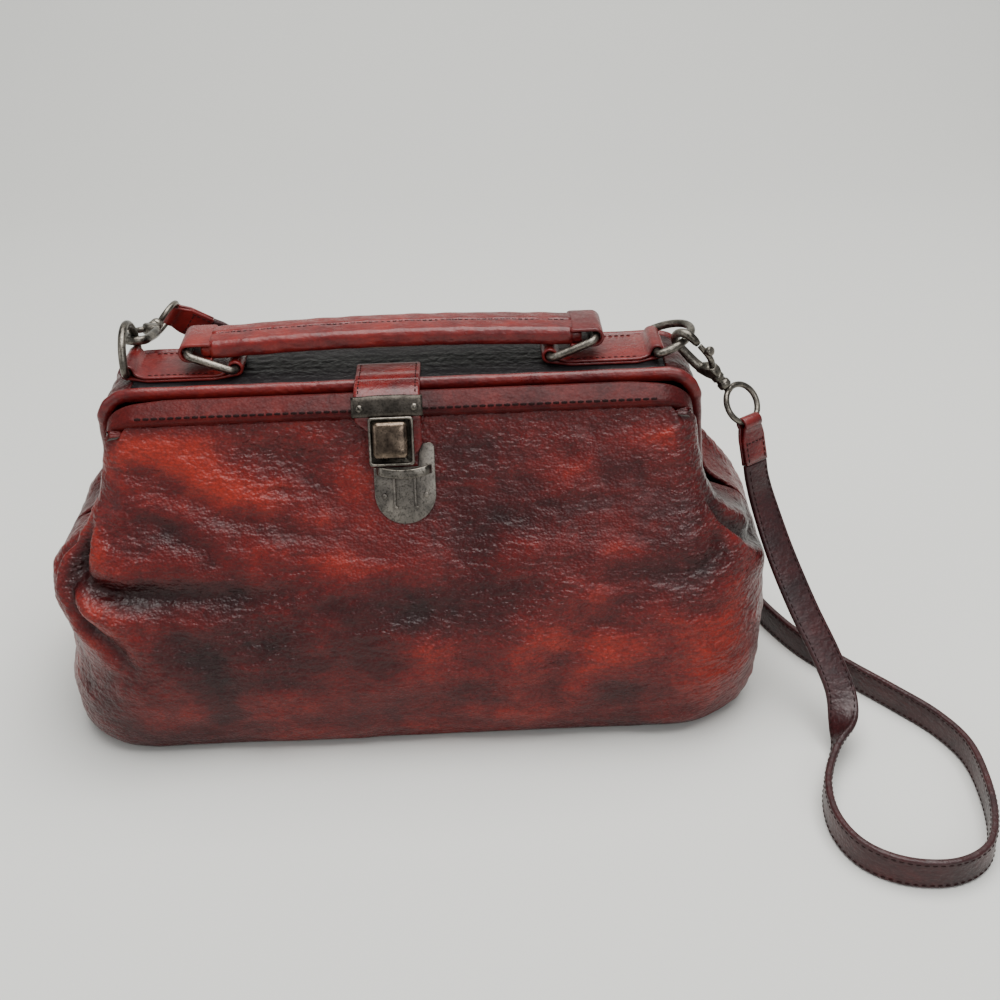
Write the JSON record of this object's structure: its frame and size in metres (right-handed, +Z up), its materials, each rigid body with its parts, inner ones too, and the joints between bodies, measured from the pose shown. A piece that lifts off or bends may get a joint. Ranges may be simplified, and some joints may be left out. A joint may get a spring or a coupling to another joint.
{
  "type": "doctor bag",
  "caption": "Framed leather doctor bag with hinged mouth, hasp latch, ring-hung carrying handle and a shoulder strap clipped to D-rings.",
  "frame": {"origin": "middle of the footprint, on the surface the bag stands on", "axes": "+X along the bag, -Y towards its latch side, +Z up"},
  "size_m": [0.4826, 0.3221, 0.216],
  "materials": {
    "leather": "glossy hand-dyed red leather, mottled with maroon and near-black, fine pebble grain",
    "dark_leather": "satin black leather with fine grain",
    "strap_leather": "dark burgundy leather, stitched along both edges",
    "hardware": "antique nickel, darkened and rubbed bright on the edges",
    "lock_metal": "matt grey metal, mottled and scratched",
    "frame_steel": "plain steel strip",
    "lining": "plain woven dark cotton",
    "board": "pressed fibre board"
  },
  "bodies": {
    "lower_bag": {"front_panel": "leather", "rear_panel": "leather", "bottom_panel": "leather", "gusset_left": "leather", "gusset_right": "leather", "rear_yoke": "leather", "lining": "lining", "base_board": "board", "rear_frame": "frame_steel", "lid_top": "dark_leather", "cheek_left": "leather", "cheek_right": "leather", "lid_roll_front": "leather", "lid_roll_rear": "leather", "hinge_pin_left": "hardware", "hinge_pin_right": "hardware", "base_strap_left": "leather", "base_strap_right": "leather", "latch_tab_root": "leather", "shoulder_strap_left": "strap_leather", "shoulder_strap_right": "strap_leather"},
    "front_mouth": {"front_frame": "frame_steel", "front_binding": "leather", "front_yoke": "leather", "lock_plate": "lock_metal", "keeper_bar": "hardware", "lock_rivet_left": "hardware", "lock_rivet_right": "hardware"},
    "latch": {"latch_tab": "leather", "clip_plate": "hardware", "clip_rivet_left": "hardware", "clip_rivet_right": "hardware", "hasp_frame": "hardware"},
    "button": {"latch_button": "hardware"},
    "handle": {"handle_cover": "leather", "handle_core": "board", "handle_end_left": "leather", "handle_end_right": "leather"},
    "handle_link_left": {"handle_ring_left": "hardware"},
    "handle_link_right": {"handle_ring_right": "hardware"},
    "clip_left": {"d_ring_left": "hardware", "snap_hook_left": "hardware", "swivel_ring_left": "hardware", "strap_end_left": "strap_leather"},
    "clip_right": {"d_ring_right": "hardware", "snap_hook_right": "hardware", "swivel_ring_right": "hardware", "strap_end_right": "strap_leather"},
    "gate_left": {"hook_gate_left": "hardware"},
    "gate_right": {"hook_gate_right": "hardware"}
  },
  "joints": [
    {"name": "front_frame_open", "type": "hinge", "parent": "lower_bag", "child": "front_mouth", "pos_m": [0, 0, 0.119], "axis": [1, 0, 0], "range_deg": [0, 50]},
    {"name": "latch_tab_lift", "type": "hinge", "parent": "lower_bag", "child": "latch", "pos_m": [0, -0.03045, 0.1919], "axis": [-1, 0, 0], "range_deg": [0, 131]},
    {"name": "latch_button_press", "type": "slide", "parent": "latch", "child": "button", "axis": [0, 0.9202, -0.3915], "range_m": [0, 0.0018], "stiffness_N_per_m": 300},
    {"name": "handle_lift", "type": "slide", "parent": "lower_bag", "child": "handle", "axis": [0, 0, 1], "range_m": [0, 0.006]},
    {"name": "handle_link_left_tilt", "type": "hinge", "parent": "lower_bag", "child": "handle_link_left", "pos_m": [-0.084, 0, 0.1935], "axis": [0, 1, 0], "range_deg": [0, 16.5]},
    {"name": "handle_link_right_tilt", "type": "hinge", "parent": "lower_bag", "child": "handle_link_right", "pos_m": [0.078, 0, 0.1935], "axis": [0, -1, 0], "range_deg": [0, 16.5]},
    {"name": "clip_left_swing", "type": "hinge", "parent": "lower_bag", "child": "clip_left", "pos_m": [-0.1395, 0, 0.1935], "axis": [0, 1, 0], "range_deg": [-12, 12], "deforming": ["shoulder_strap_left"]},
    {"name": "clip_right_swing", "type": "hinge", "parent": "lower_bag", "child": "clip_right", "pos_m": [0.1335, 0, 0.1935], "axis": [0, 1, 0], "range_deg": [-14, 3], "deforming": ["shoulder_strap_right"]},
    {"name": "hook_gate_left_press", "type": "hinge", "parent": "clip_left", "child": "gate_left", "pos_m": [-0.13944, 0.03601, 0.19773], "axis": [0.0623, 0.1431, 0.9877], "range_deg": [0, 22], "stiffness_Nm_per_rad": 0.02},
    {"name": "hook_gate_right_press", "type": "hinge", "parent": "clip_right", "child": "gate_right", "pos_m": [0.16196, -0.01644, 0.18556], "axis": [-0.5793, -0.7152, -0.391], "range_deg": [0, 22], "stiffness_Nm_per_rad": 0.02}
  ],
  "couplings": [
    {"joint": "latch_tab_lift", "follows": "front_frame_open", "ratio": 2.6},
    {"joint": "handle_link_left_tilt", "follows": "handle_lift", "rad_per_m": 46},
    {"joint": "handle_link_right_tilt", "follows": "handle_lift", "rad_per_m": 46}
  ]
}
